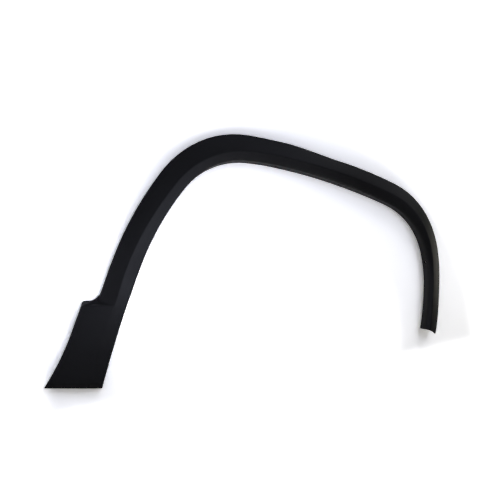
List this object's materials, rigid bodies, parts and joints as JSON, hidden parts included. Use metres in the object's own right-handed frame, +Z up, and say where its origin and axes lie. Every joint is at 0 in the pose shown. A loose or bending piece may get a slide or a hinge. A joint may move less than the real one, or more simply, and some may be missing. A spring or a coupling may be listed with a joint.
{
  "type": "wheel arch trim",
  "caption": "Black moulded trim that frames a front wheel opening: creased band, wheel-lip flange, stepped foot at the sill end, clip towers behind.",
  "frame": {"origin": "root of the four-way locating pin behind the crown, in the plane of the body side", "axes": "+X along the car towards the bumper, +Y into the car, +Z up, as on the car"},
  "size_m": [1.0106, 0.1288, 0.639],
  "materials": {
    "moulding": "fine moulded grain",
    "clips": "smooth natural nylon"
  },
  "bodies": {
    "root": {"arch_moulding": "moulding", "retainer_clips": "clips"}
  },
  "joints": []
}
